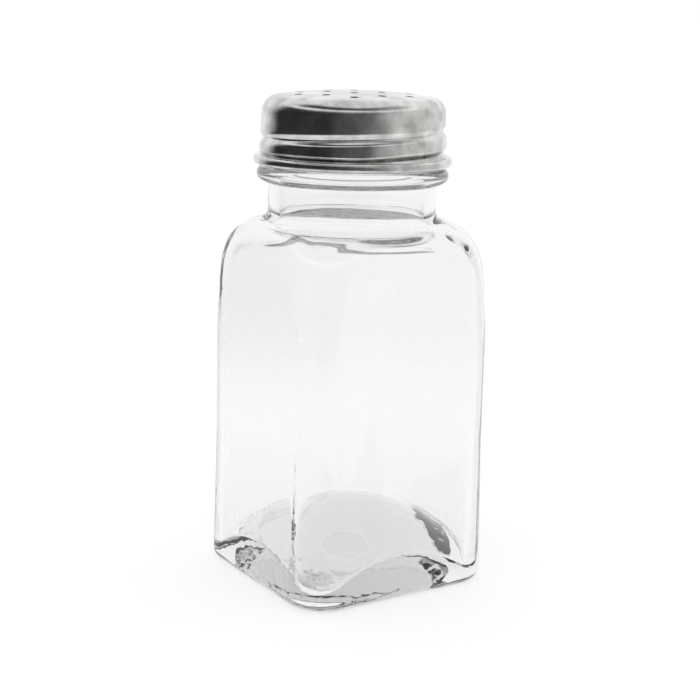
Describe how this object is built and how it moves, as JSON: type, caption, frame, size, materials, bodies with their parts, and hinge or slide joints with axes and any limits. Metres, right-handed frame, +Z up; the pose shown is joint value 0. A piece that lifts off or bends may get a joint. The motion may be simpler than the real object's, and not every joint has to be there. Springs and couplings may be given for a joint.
{
  "type": "table shaker",
  "caption": "Square clear glass table shaker with rounded shoulders and a perforated, screw-on domed metal cap.",
  "frame": {"origin": "centre of the jar's base, on the surface it stands on", "axes": "+Z up along the jar's axis; -Y is the front panel"},
  "size_m": [0.0468, 0.0468, 0.1025],
  "materials": {
    "clear_glass": "gloss",
    "polished_steel": "polished"
  },
  "bodies": {
    "jar": {"glass_jar": "clear_glass", "glass_neck": "clear_glass"},
    "cap_foot": {"cap_curl": "polished_steel"},
    "cap": {"cap_shell": "polished_steel"}
  },
  "joints": [
    {"name": "cap_rise", "type": "slide", "parent": "jar", "child": "cap_foot", "axis": [0, 0, 1], "range_m": [0, 0.01482]},
    {"name": "cap_turn", "type": "hinge", "parent": "cap_foot", "child": "cap", "pos_m": [0, 0, 0.0885], "axis": [0, 0, 1], "range_deg": [0, 1260]}
  ],
  "couplings": [
    {"joint": "cap_turn", "follows": "cap_rise", "rad_per_m": 1484.2}
  ]
}
